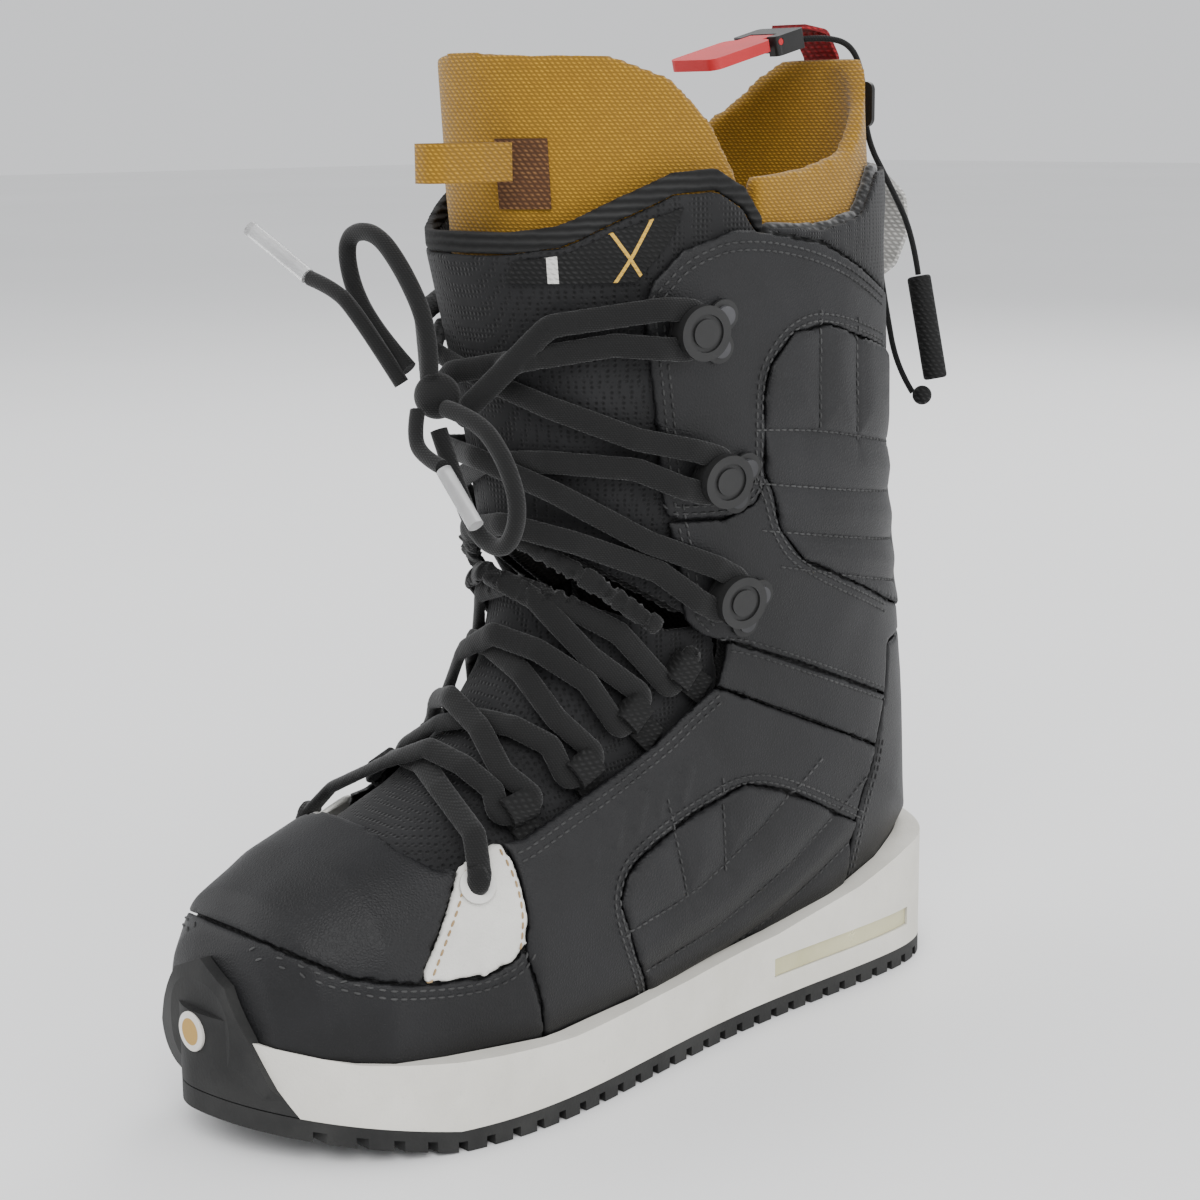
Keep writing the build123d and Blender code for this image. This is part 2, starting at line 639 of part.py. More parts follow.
def through_loop(index, side):
    """Way in and way out of a webbing loop."""
    station, degrees = LOOPS_AT[index]
    place = form_plane(station, side * degrees)
    up = -side
    return [lead(place, 0, -up * 7.5, -2.6), lead(place, 0, up * 7.5, -2.6)]


def round_hook(index, side):
    """Way round the neck of a lace hook, below its head."""
    station, degrees = HOOKS_AT[index]
    place = form_plane(station, side * degrees)
    up = -side
    path = ((13, -6.4, 4.6), (-1.2, -6.4, 4.0), (-1.2, 6.4, 4.0), (13, 6.4, 4.6))
    return [lead(place, x, up * y, z) for x, y, z in path]


def lower_lace(side, over):
    """One lace from its eyelet up through the four loops, changing sides at each crossing."""
    station, degrees = EYELET_AT
    place = form_plane(station, side * degrees)
    points = [lead(place, 0, 0, -2.0), lead(place, 0.5, 0, 4.5)]
    points.append(form_point(station + 0.1, side * (degrees - 16), -2.8))
    at = (station, side * (degrees - 16))
    for index in range(4):
        side = -side
        stop = (LOOPS_AT[index][0], side * LOOPS_AT[index][1])
        points += crossing(at, stop, over)[0 if index else 1 :]
        points += through_loop(index, side)
        at = stop
    return points


def upper_lace(side, over, knot_end):
    """One lace from above its top loop round the three hooks to the knot."""
    at = (LOOPS_AT[3][0] + 0.5, side * (LOOPS_AT[3][1] - 10))
    points = [form_point(at[0], at[1], -1.6)]
    for index in range(3):
        side = -side
        stop = (HOOKS_AT[index][0], side * HOOKS_AT[index][1])
        points += crossing(at, stop, over)
        points += round_hook(index, side)
        at = stop
    station, degrees = HOOKS_AT[2]
    points.append(form_point(station - 0.05, side * degrees * 0.45, -4.0))
    points.append(knot_end)
    return points


def bend_radius(points):
    """Largest fillet that every corner of a route can take."""
    best = 1000.0
    for before, corner, after in zip(points, points[1:], points[2:]):
        first, second = corner - before, after - corner
        turn = math.radians(first.get_angle(second))
        run = min(first.length, second.length)
        best = min(best, 0.45 * run / math.tan(turn / 2))
    return best


def tube(name, points, diameter):
    """Round cord along a filleted route."""
    points = [Vector(*point) for point in points]
    radius = bend_radius(points)
    print(f"{name}: bend radius {radius:.1f} mm, cord {diameter} mm")
    with BuildPart() as cord:
        with BuildLine() as route:
            FilletPolyline(*points, radius=radius)
        with BuildSketch(Plane(origin=route.line @ 0, z_dir=route.line % 0)):
            Circle(diameter / 2)
        sweep()
    return cord.part


LOWER_A = tube("lace_lower_a", lower_lace(1, False), LACE_D)
LOWER_B = tube("lace_lower_b", lower_lace(-1, True), LACE_D)
UPPER_A = tube("lace_upper_a", upper_lace(1, False, KNOT_ENDS[0]), LACE_D)
UPPER_B = tube("lace_upper_b", upper_lace(-1, True, KNOT_ENDS[1]), LACE_D)
BOW_UP = tube("bow loop, upper", BOW_LOOP_UP, LACE_D)
BOW_DOWN = tube("bow loop, lower", BOW_LOOP_DOWN, LACE_D)
TAIL_UP = tube("lace tail, upper", TAIL_UP_ROUTE, LACE_D)
TAIL_DOWN = tube("lace tail, lower", TAIL_DOWN_ROUTE, LACE_D)
CORD_MAIN = tube("liner cord", LINER_CORD_ROUTE, CORD_D)
CORD_RETURN = tube("liner cord, return", RETURN_CORD_ROUTE, CORD_D)

with BuildPart() as lace_lower_a:
    add(LOWER_A)

with BuildPart() as lace_lower_b:
    add(LOWER_B)

with BuildPart() as lace_upper_a:
    add(UPPER_A)

with BuildPart() as lace_upper_b:
    add(UPPER_B)

with BuildPart() as lace_knot:
    with Locations(KNOT_AT):
        Sphere(KNOT_R)

with BuildPart() as bow_loops:
    add(BOW_UP)
    add(BOW_DOWN)

with BuildPart() as lace_tails:
    add(TAIL_UP)
    add(TAIL_DOWN)

with BuildPart() as aglets:
    for start, end in AGLETS_AT:
        start, end = Vector(*start), Vector(*end)
        with BuildSketch(Plane(origin=start, z_dir=end - start)):
            Circle(2.6)
        extrude(amount=(end - start).length)

# ---------------------------------------------------------------- cuff: webbing, lock and cord
with BuildPart() as heel_pull_loop:
    with BuildSketch(Plane.YZ):
        with BuildLine():
            FilletPolyline(*HEEL_LOOP, radius=5)
        trace(line_width=1.8)
    extrude(amount=6, both=True)

with BuildPart() as liner_red_loop:
    with BuildSketch(Plane.YZ.offset(-5)):
        with BuildLine():
            FilletPolyline(*RED_LOOP, radius=4)
        trace(line_width=1.5)
    extrude(amount=8, both=True)

LOCK_PLANE = Plane(origin=(-6, 98, 343), x_dir=(1, 0, 0), z_dir=(0, -0.24, 0.97))
with BuildPart() as lock_body:
    with BuildSketch(LOCK_PLANE.offset(-3.5)):
        RectangleRounded(22, 15, 2)
    extrude(amount=7)
    with BuildSketch(Plane(LOCK_PLANE.origin, x_dir=(0, 1, 0), z_dir=(1, 0, 0))):
        with Locations((-5.5, 0)):
            Circle(HINGE_PIN_D / 2 + 0.08)
    extrude(amount=20, both=True, mode=Mode.SUBTRACT)
    with BuildSketch(LOCK_PLANE.offset(-4)):
        with Locations((0, -6)):
            Rectangle(12.6, 8)
    extrude(amount=8, mode=Mode.SUBTRACT)

PIN_CENTRE = LOCK_PLANE.origin + Vector(0, -5.5, 0)
with BuildPart() as pull_tab:
    with BuildSketch(Plane(PIN_CENTRE, x_dir=(1, 0, 0), z_dir=LOCK_PLANE.z_dir).offset(-2)):
        with Locations((0, -1)):
            Rectangle(12, 7.2)
        with Locations((0, -20)):
            RectangleRounded(23, 31, 4)
    extrude(amount=4)
    with BuildSketch(Plane(PIN_CENTRE, x_dir=(0, 1, 0), z_dir=(1, 0, 0)).offset(-10.8)):
        Circle(HINGE_PIN_D / 2)
    extrude(amount=21.6)

with BuildPart() as liner_cord:
    add(CORD_MAIN)
    add(CORD_RETURN)

with BuildPart() as cord_guide:
    with BuildSketch(Plane.XZ.offset(-GUIDE_AT[1])):
        with Locations((GUIDE_AT[0], GUIDE_AT[2])):
            RectangleRounded(16, 16, 3)
    extrude(amount=-1.6)

with BuildPart() as pull_handle:
    handle_plane = Plane(origin=HANDLE_TOP, z_dir=Vector(*HANDLE_BOTTOM) - Vector(*HANDLE_TOP))
    handle_length = (Vector(*HANDLE_BOTTOM) - Vector(*HANDLE_TOP)).length
    with BuildSketch(handle_plane):
        Circle(4.4)
    extrude(amount=handle_length)
    fillet(pull_handle.edges(), 1.2)
    with Locations(Vector(*KNOB_AT)):
        Sphere(3.6)

with BuildPart() as liner_tongue_loop:
    with BuildSketch(Plane.XY.offset(298)):
        with BuildLine():
            FilletPolyline(*TONGUE_LOOP, radius=4.5)
        trace(line_width=1.6)
    extrude(amount=12)

# ---------------------------------------------------------------- one STEP per piece
PIECES = {
    "midsole": midsole,
    "heel_window_insert": heel_window_insert,
    "outsole": outsole,
    "toe_bumper": toe_bumper,
    "toe_badge": toe_badge,
    "insole_board": insole_board,
    "shank": shank,
    "footbed": footbed,
    "toe_rand": toe_rand,
    "vamp": vamp,
    "eyelet_patch_lateral": eyelet_patch_lateral,
    "eyelet_patch_medial": eyelet_patch_medial,
    "eyelets": eyelets,
    "quarter_lateral": quarter_lateral,
    "quarter_medial": quarter_medial,
    "quilt_lower_lateral": quilt_lower_lateral,
    "quilt_lower_medial": quilt_lower_medial,
    "heel_counter": heel_counter,
    "lining_foot": lining_foot,
    "liner_foot": liner_foot,
    "shell_tongue_lower": shell_tongue_lower,
    "liner_tongue_lower": liner_tongue_lower,
    "lace_loops": lace_loops,
    "strap_lateral": strap_lateral,
    "strap_medial": strap_medial,
    "cuff_panel_lateral": cuff_panel_lateral,
    "cuff_panel_medial": cuff_panel_medial,
    "hook_panel_lateral": hook_panel_lateral,
    "hook_panel_medial": hook_panel_medial,
    "quilt_upper_lateral": quilt_upper_lateral,
    "quilt_upper_medial": quilt_upper_medial,
    "backstay": backstay,
    "lining_cuff": lining_cuff,
    "collar_pad": collar_pad,
    "liner_cuff": liner_cuff,
    "shell_tongue_upper": shell_tongue_upper,
    "tongue_binding": tongue_binding,
    "tongue_label": tongue_label,
    "liner_tongue_upper": liner_tongue_upper,
    "liner_tongue_label": liner_tongue_label,
    "lace_hooks": lace_hooks,
    "hook_rivets": hook_rivets,
    "lace_lower_a": lace_lower_a,
    "lace_lower_b": lace_lower_b,
    "lace_upper_a": lace_upper_a,
    "lace_upper_b": lace_upper_b,
    "lace_knot": lace_knot,
    "bow_loops": bow_loops,
    "lace_tails": lace_tails,
    "aglets": aglets,
    "heel_pull_loop": heel_pull_loop,
    "liner_red_loop": liner_red_loop,
    "lock_body": lock_body,
    "pull_tab": pull_tab,
    "liner_cord": liner_cord,
    "cord_guide": cord_guide,
    "pull_handle": pull_handle,
    "liner_tongue_loop": liner_tongue_loop,
}
os.makedirs("parts", exist_ok=True)
for name, piece in PIECES.items():
    piece.part.label = name
    export_step(piece.part, f"parts/{name}.step")
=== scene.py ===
import math

import bpy
import bmesh
import numpy as np
from mathutils import Matrix, Vector, noise
from mathutils.bvhtree import BVHTree


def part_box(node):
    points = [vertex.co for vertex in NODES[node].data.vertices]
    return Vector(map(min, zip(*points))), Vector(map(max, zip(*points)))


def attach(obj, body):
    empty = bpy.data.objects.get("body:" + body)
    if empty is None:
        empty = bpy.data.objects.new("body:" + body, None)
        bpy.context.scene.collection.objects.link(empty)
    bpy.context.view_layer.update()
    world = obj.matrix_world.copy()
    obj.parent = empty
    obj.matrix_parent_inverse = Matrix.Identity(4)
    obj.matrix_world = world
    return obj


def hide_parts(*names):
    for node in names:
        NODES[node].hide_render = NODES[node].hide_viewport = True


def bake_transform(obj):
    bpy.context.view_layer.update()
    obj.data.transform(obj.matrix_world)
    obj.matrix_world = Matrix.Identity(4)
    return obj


# Looks of a left snowboard boot: soft leather panels with stitching and quilting, a mesh tongue, a
# woven liner, braided laces and a scuffed sole. Metres, toe to -Y, lateral side +X, up +Z.

MM = 0.001
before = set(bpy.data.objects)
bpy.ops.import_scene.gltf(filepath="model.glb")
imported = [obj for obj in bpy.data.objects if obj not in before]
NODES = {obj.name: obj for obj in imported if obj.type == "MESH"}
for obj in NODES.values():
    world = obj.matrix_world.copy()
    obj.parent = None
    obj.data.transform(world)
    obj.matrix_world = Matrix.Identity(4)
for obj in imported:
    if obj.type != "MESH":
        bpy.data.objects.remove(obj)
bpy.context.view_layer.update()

# ---------------------------------------------------------------- camera
CAMERA_AZIMUTH = math.radians(46.86)
CAMERA_ELEVATION = math.radians(11.63)
CAMERA_ROLL = math.radians(-0.51)
CAMERA_DISTANCE = 0.8194
CAMERA_TARGET = Vector((0.0013, 0.0053, 0.1530))
CAMERA_LENS = 70.76


def make_camera():
    """Camera at the viewing angle of a three-quarter product view from the toe's lateral side."""
    sin_a, cos_a = math.sin(CAMERA_AZIMUTH), math.cos(CAMERA_AZIMUTH)
    sin_e, cos_e = math.sin(CAMERA_ELEVATION), math.cos(CAMERA_ELEVATION)
    back = Vector((sin_a * cos_e, -cos_a * cos_e, sin_e))
    right = Vector((cos_a, sin_a, 0))
    up = back.cross(right)
    rolled_right = right * math.cos(CAMERA_ROLL) + up * math.sin(CAMERA_ROLL)
    rolled_up = up * math.cos(CAMERA_ROLL) - right * math.sin(CAMERA_ROLL)
    data = bpy.data.cameras.new("camera")
    data.lens = CAMERA_LENS
    data.sensor_width = 36
    camera = bpy.data.objects.new("camera", data)
    bpy.context.collection.objects.link(camera)
    turn = Matrix((rolled_right, rolled_up, back)).transposed().to_4x4()
    camera.matrix_world = Matrix.Translation(CAMERA_TARGET + back * CAMERA_DISTANCE) @ turn
    bpy.context.scene.camera = camera


make_camera()


# ---------------------------------------------------------------- materials
def node(tree, kind, **values):
    """New shader node with its input sockets set by name."""
    made = tree.nodes.new(kind)
    for key, value in values.items():
        if key in made.inputs:
            made.inputs[key].default_value = value
        else:
            setattr(made, key, value)
    return made


def mixed(tree, factor, low, high, kind="MIX"):
    """Colour mix whose ends are colours or sockets."""
    mix = tree.nodes.new("ShaderNodeMix")
    mix.data_type = "RGBA"
    mix.blend_type = kind
    tree.links.new(factor, mix.inputs[0])
    for socket, value in ((mix.inputs[6], low), (mix.inputs[7], high)):
        if isinstance(value, tuple):
            socket.default_value = (*value, 1)
        else:
            tree.links.new(value, socket)
    return mix.outputs[2]


def ramp(tree, source, low, high):
    """Remaps a value so that low becomes 0 and high becomes 1."""
    made = tree.nodes.new("ShaderNodeMapRange")
    made.inputs[1].default_value = low
    made.inputs[2].default_value = high
    tree.links.new(source, made.inputs[0])
    return made.outputs[0]


def maths(tree, operation, first, second):
    """One maths node; each end is a socket or a number."""
    made = tree.nodes.new("ShaderNodeMath")
    made.operation = operation
    for socket, value in ((made.inputs[0], first), (made.inputs[1], second)):
        if isinstance(value, (int, float)):
            socket.default_value = value
        else:
            tree.links.new(value, socket)
    return made.outputs[0]


def grain_height(tree, where, kind, size):
    """Height pattern of a surface: pebbled leather, a weave, a knit mesh, a braid or a moulded skin."""
    if kind == "leather":
        cells = node(tree, "ShaderNodeTexVoronoi", Scale=1 / size, feature="DISTANCE_TO_EDGE")
        tree.links.new(where, cells.inputs["Vector"])
        return ramp(tree, cells.outputs["Distance"], 0.0, 0.35)
    if kind == "mesh":
        cells = node(tree, "ShaderNodeTexVoronoi", Scale=1 / size, Randomness=0.15)
        tree.links.new(where, cells.inputs["Vector"])
        return ramp(tree, cells.outputs["Distance"], 0.15, 0.45)
    if kind in ("weave", "rib"):
        waves = []
        for direction in ("Z", "DIAGONAL"):
            wave = node(tree, "ShaderNodeTexWave", Scale=0.16 / size, Distortion=1.2)
            wave.bands_direction = direction
            wave.inputs["Detail Scale"].default_value = 2.0
            tree.links.new(where, wave.inputs["Vector"])
            waves.append(wave.outputs["Fac"])
        return waves[0] if kind == "rib" else maths(tree, "MULTIPLY", waves[0], waves[1])
    speckle = node(tree, "ShaderNodeTexNoise", Scale=0.6 / size, Detail=6.0)
    tree.links.new(where, speckle.inputs["Vector"])
    return speckle.outputs["Fac"]


WEAR_SCALE = 260.0
ROUGHNESS_SPREAD = 0.08
SPECULAR = 0.3
SHADE = 0.45  # how much darker the gaps of a weave and the worn marks are


def surface(
    name, low, high, rough, kind, size, depth, bump=0.5, patch=0.03, sheen=0.0, clear=0.0, worn=0.0
):  # fmt: skip
    """Procedural material: patchy colour between two colours, a grain bump and an uneven roughness."""
    material = bpy.data.materials.new(name)
    material.use_nodes = True
    tree = material.node_tree
    shader = tree.nodes["Principled BSDF"]
    where = tree.nodes.new("ShaderNodeTexCoord").outputs["Object"]
    patches = node(tree, "ShaderNodeTexNoise", Scale=1 / patch, Detail=5.0, Roughness=0.6)
    tree.links.new(where, patches.inputs["Vector"])
    spread = ramp(tree, patches.outputs["Fac"], 0.35, 0.68)
    height = grain_height(tree, where, kind, size)
    colour = mixed(tree, spread, low, high)
    dark = tuple(c * SHADE for c in low)
    if kind in ("weave", "mesh", "rib"):
        colour = mixed(tree, height, dark, colour)
    if worn:
        scratch = node(tree, "ShaderNodeTexNoise", Scale=WEAR_SCALE, Detail=9.0, Roughness=0.75)
        tree.links.new(where, scratch.inputs["Vector"])
        marks = ramp(tree, scratch.outputs["Fac"], 0.60, 0.72)
        colour = mixed(tree, maths(tree, "MULTIPLY", marks, worn), colour, dark)
    tree.links.new(colour, shader.inputs["Base Color"])
    spread_rough = (rough - ROUGHNESS_SPREAD, rough + ROUGHNESS_SPREAD)
    tree.links.new(ramp_between(tree, patches.outputs["Fac"], *spread_rough), shader.inputs["Roughness"])
    relief = node(tree, "ShaderNodeBump", Strength=bump, Distance=depth)
    tree.links.new(height, relief.inputs["Height"])
    tree.links.new(relief.outputs["Normal"], shader.inputs["Normal"])
    shader.inputs["Specular IOR Level"].default_value = SPECULAR
    if sheen:
        shader.inputs["Sheen Weight"].default_value = sheen
        shader.inputs["Sheen Roughness"].default_value = 0.5
    if clear:
        shader.inputs["Transmission Weight"].default_value = clear
    return material


def ramp_between(tree, source, low, high):
    """Value that runs from low to high with the source."""
    made = tree.nodes.new("ShaderNodeMapRange")
    made.inputs[3].default_value = low
    made.inputs[4].default_value = high
    tree.links.new(source, made.inputs[0])
    return made.outputs[0]


BLACK_LOW = (0.0045, 0.0045, 0.005)
BLACK_HIGH = (0.009, 0.009, 0.010)
MATERIALS = {}


def add_material(name, *args, **settings):
    """Makes one material and keeps it by name."""
    MATERIALS[name] = surface(name, *args, **settings)


# name, dark colour, light colour, roughness, grain, grain size and depth, bump, patch size, sheen
add_material("black_leather", BLACK_LOW, BLACK_HIGH, 0.5, "leather", 0.0011, 0.00016)
add_material("quilted_leather", BLACK_LOW, (0.011, 0.011, 0.012), 0.52, "leather", 0.0013, 0.0002)
add_material(
    "white_leather", (0.62, 0.61, 0.57), (0.74, 0.73, 0.69),
    0.5, "leather", 0.0011, 0.00016, worn=0.25,
)  # fmt: skip
add_material(
    "black_mesh", (0.006, 0.006, 0.0065), (0.014, 0.014, 0.015),
    0.8, "mesh", 0.0018, 0.0006, 0.8, sheen=0.08,
)  # fmt: skip
add_material(
    "collar_mesh", (0.006, 0.006, 0.0065), (0.014, 0.014, 0.015),
    0.85, "mesh", 0.0014, 0.0004, 0.8, sheen=0.08,
)  # fmt: skip
add_material(
    "mustard", (0.40, 0.205, 0.012), (0.52, 0.285, 0.022),
    0.9, "weave", 0.0006, 0.00035, 0.8, 0.004, 0.15,
)  # fmt: skip
add_material(
    "lining", (0.02, 0.02, 0.02), (0.05, 0.05, 0.05),
    0.95, "weave", 0.0010, 0.0004, 0.8, 0.01, 0.4,
)  # fmt: skip
add_material(
    "braid", (0.004, 0.004, 0.004), (0.010, 0.010, 0.010),
    0.85, "weave", 0.00035, 0.0002, 0.6, 0.006, 0.15,
)  # fmt: skip
add_material(
    "midsole", (0.60, 0.58, 0.52), (0.73, 0.71, 0.65),
    0.62, "moulded", 0.0006, 0.00018, 0.7, 0.05, worn=0.3,
)  # fmt: skip
add_material(
    "gel", (0.70, 0.66, 0.40), (0.82, 0.78, 0.52),
    0.25, "moulded", 0.002, 0.0001, 0.3, clear=0.35,
)  # fmt: skip
add_material(
    "rubber", (0.012, 0.012, 0.012), (0.03, 0.03, 0.029),
    0.72, "moulded", 0.0007, 0.0002, 0.7, worn=0.2,
)  # fmt: skip
add_material(
    "black_plastic", (0.014, 0.014, 0.014), (0.022, 0.022, 0.022),
    0.38, "moulded", 0.0004, 0.00006,
)  # fmt: skip
add_material("rivet", (0.03, 0.03, 0.032), (0.07, 0.07, 0.075), 0.35, "moulded", 0.0003, 0.00004)
add_material("clear", (0.5, 0.5, 0.5), (0.7, 0.7, 0.7), 0.18, "moulded", 0.0008, 0.00006, clear=0.6)
add_material("white_webbing", (0.62, 0.61, 0.58), (0.76, 0.75, 0.72), 0.85, "weave", 0.0008, 0.0004, 0.9)
add_material("black_webbing", (0.01, 0.01, 0.01), (0.03, 0.03, 0.03), 0.85, "weave", 0.0008, 0.0004, 0.9)
add_material("red_webbing", (0.34, 0.015, 0.02), (0.50, 0.03, 0.035), 0.8, "weave", 0.0008, 0.0004, 0.9)
add_material("red_plastic", (0.46, 0.02, 0.025), (0.58, 0.035, 0.04), 0.45, "moulded", 0.0005, 0.0001)
add_material(
    "brown_label", (0.12, 0.05, 0.02), (0.26, 0.13, 0.05),
    0.85, "weave", 0.0007, 0.0003, 0.9, 0.003,
)  # fmt: skip
add_material("binding", (0.012, 0.012, 0.012), (0.028, 0.028, 0.028), 0.85, "rib", 0.0014, 0.0006, 1.0)
add_material("thread", (0.02, 0.02, 0.02), (0.06, 0.06, 0.06), 0.6, "moulded", 0.0004, 0.0001)
add_material("tan_thread", (0.30, 0.20, 0.10), (0.42, 0.30, 0.16), 0.7, "moulded", 0.0004, 0.0001)
add_material("badge", (0.60, 0.58, 0.54), (0.72, 0.70, 0.66), 0.35, "moulded", 0.0005, 0.00008)
add_material("shank_steel", (0.4, 0.4, 0.4), (0.5, 0.5, 0.5), 0.35, "moulded", 0.0005, 0.00005)
add_material("board", (0.12, 0.11, 0.10), (0.2, 0.19, 0.17), 0.9, "moulded", 0.0007, 0.0002)
add_material("eyelet_white", (0.62, 0.61, 0.58), (0.72, 0.71, 0.68), 0.35, "moulded", 0.0005, 0.00008)


def recoloured(name, copy_name, mask, colour):
    """Copy of a material that takes another colour where mask(tree, x, y, z) is 1."""
    material = MATERIALS[name].copy()
    material.name = copy_name
    tree = material.node_tree
    shader = tree.nodes["Principled BSDF"]
    before = shader.inputs["Base Color"].links[0].from_socket
    axes = tree.nodes.new("ShaderNodeSeparateXYZ")
    tree.links.new(tree.nodes.new("ShaderNodeTexCoord").outputs["Object"], axes.inputs[0])
    factor = mask(tree, *axes.outputs)
    tree.links.new(mixed(tree, factor, before, colour), shader.inputs["Base Color"])
    MATERIALS[copy_name] = material


def disc(tree, x, z, middle, radius):
    """1 inside a circle in the X-Z plane."""
    across = maths(tree, "POWER", maths(tree, "ABSOLUTE", maths(tree, "SUBTRACT", x, middle[0]), 0.0), 2.0)
    upward = maths(tree, "POWER", maths(tree, "ABSOLUTE", maths(tree, "SUBTRACT", z, middle[1]), 0.0), 2.0)
    return maths(tree, "LESS_THAN", maths(tree, "ADD", across, upward), radius**2)


def stripe(tree, y, z, start, end, half_width):
    """1 within half_width of the line through two (y, z) points in mm."""
    (ay, az), (by, bz) = start, end
    length = math.hypot(by - ay, bz - az)
    ny, nz = (bz - az) / length, -(by - ay) / length
    offset = (ny * ay + nz * az) * MM
    value = maths(tree, "ADD", maths(tree, "MULTIPLY", y, ny), maths(tree, "MULTIPLY", z, nz))
    gap = maths(tree, "ABSOLUTE", maths(tree, "SUBTRACT", value, offset), 0.0)
    return maths(tree, "LESS_THAN", gap, half_width * MM)


LINER_DARK_BELOW = 0.262
LINER_DARK = (0.006, 0.006, 0.006)
recoloured(
    "mustard", "liner_two_tone",
    lambda tree, x, y, z: maths(tree, "LESS_THAN", z, LINER_DARK_BELOW), LINER_DARK,
)  # fmt: skip
BADGE_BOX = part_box("toe_badge")
BADGE_MIDDLE = [(a + b) / 2 for a, b in zip(*BADGE_BOX)]
BADGE_DISC_RADIUS = 4.4 * MM
BADGE_GOLD = (0.40, 0.24, 0.05)
recoloured(
    "badge", "badge_ring",
    lambda tree, x, y, z: disc(tree, x, z, (BADGE_MIDDLE[0], BADGE_MIDDLE[2]), BADGE_DISC_RADIUS), BADGE_GOLD,
)  # fmt: skip
LABEL_LINES = [((-31, 286), (-17, 266)), ((-14, 288), (-26, 266))]  # y, z in mm
LABEL_BAR = ((-44, 280), (-41, 262))
LABEL_GOLD = (0.55, 0.34, 0.06)
LABEL_WHITE = (0.6, 0.59, 0.56)


def label_lines(tree, x, y, z):
    """Two crossing gold lines."""
    first, second = (stripe(tree, y, z, *line, 0.55) for line in LABEL_LINES)
    return maths(tree, "MAXIMUM", first, second)


recoloured("black_webbing", "label_gold", label_lines, LABEL_GOLD)
recoloured("label_gold", "label", lambda tree, x, y, z: stripe(tree, y, z, *LABEL_BAR, 1.2), LABEL_WHITE)


def paint(obj, name):
    """Gives an object one material in all its slots."""
    obj.data.materials.clear()
    obj.data.materials.append(MATERIALS[name])


# ---------------------------------------------------------------- mesh tools
def new_object(name, mesh):
    obj = bpy.data.objects.new(name, mesh)
    bpy.context.collection.objects.link(obj)
    return obj


def applied(obj, *modifiers):
    """Applies modifiers, given as (kind, settings) pairs, to the object's mesh."""
    for index, (kind, settings) in enumerate(modifiers):
        made = obj.modifiers.new(f"{kind}{index}", kind)
        for key, value in settings.items():
            setattr(made, key, value)
    bpy.context.view_layer.update()
    baked = bpy.data.meshes.new_from_object(obj.evaluated_get(bpy.context.evaluated_depsgraph_get()))
    obj.modifiers.clear()
    obj.data = baked
    return obj


def coordinates(mesh):
    flat = np.empty(len(mesh.vertices) * 3)
    mesh.vertices.foreach_get("co", flat)
    return flat.reshape(-1, 3)


def vertex_normals(mesh):
    flat = np.empty(len(mesh.vertices) * 3)
    mesh.vertex_normals.foreach_get("vector", flat)
    return flat.reshape(-1, 3)


def move_vertices(mesh, offsets):
    mesh.vertices.foreach_set("co", (coordinates(mesh) + offsets).ravel())
    mesh.update()


def distance_to_line(points, line):
    """Distance of (y, z) points in mm to a polyline in mm."""
    best = np.full(len(points), 1e9)
    for start, end in zip(line, line[1:]):
        a = np.array(start, float)
        run = np.array(end, float) - a
        share = np.clip(((points - a) @ run) / (run @ run), 0, 1)
        gap = np.linalg.norm(points - a - share[:, None] * run, axis=1)
        best = np.minimum(best, gap)
    return best


def wrinkle(points, size, seed):
    """Soft noise for every point, about -1 to 1."""
    scale = 1 / size
    return np.array([noise.noise(Vector(p) * scale + Vector((seed, 0, 0))) for p in points])


def outward(points, normals):
    """1 on faces that look away from the boot's middle, 0 on edges and inner faces."""
    middle = np.zeros_like(points)
    middle[:, 1] = np.clip(points[:, 1], -0.13, 0.045)
    middle[:, 2] = np.where(points[:, 1] < -0.04, 0.055, np.maximum(points[:, 2], 0.06))
    away = points - middle
    away /= np.maximum(np.linalg.norm(away, axis=1, keepdims=True), 1e-9)
    return np.clip(np.einsum("ij,ij->i", away, normals) * 1.6, 0, 1)


QUILT_UPPER = [
    [(58, 252), (60, 212)], [(82, 248), (84, 206)],
    [(28, 215), (60, 212), (120, 200)], [(28, 197), (120, 182)],
    [(34, 180), (122, 164)], [(44, 166), (124, 148)],
]  # fmt: skip
QUILT_LOWER = [
    [(-30, 52), (10, 58), (40, 72), (70, 92)], [(-18, 36), (20, 40), (60, 56), (100, 80)],
    [(8, 22), (50, 34), (100, 58)],
    [(-6, 92), (2, 56)], [(20, 94), (22, 62)],
]  # fmt: skip


PUFF_HEIGHT = 1.15  # mm, as are the next three
PUFF_REACH = 6.0
CHANNEL_DEPTH = 0.75
CHANNEL_REACH = 1.3


def quilted(points, lines):
    """Height of padded leather that stitched channels pull down."""
    side = points[:, 1:] / MM
    nearest = np.full(len(points), 1e9)
    for line in lines:
        nearest = np.minimum(nearest, distance_to_line(side, line))
    puff = PUFF_HEIGHT * (1 - np.exp(-((nearest / PUFF_REACH) ** 2)))
    channel = CHANNEL_DEPTH * np.exp(-((nearest / CHANNEL_REACH) ** 2))
    return (puff - channel) * MM


EMBOSS_BARS = [(-42 + 11 * k, 86.5 + 2.6 * k) for k in range(5)]  # y, z of each raised bar's middle


def embossed(points):
    """Raised slanted bars on the quarter."""
    side = points[:, 1:] / MM
    height = np.zeros(len(points))
    for y, z in EMBOSS_BARS:
        gap = distance_to_line(side, [(y - 1.5, z - 5), (y + 2.5, z + 5)])
        height = np.maximum(height, 0.55 / (1 + np.exp((gap - 2.0) * 3)))
    return height * MM


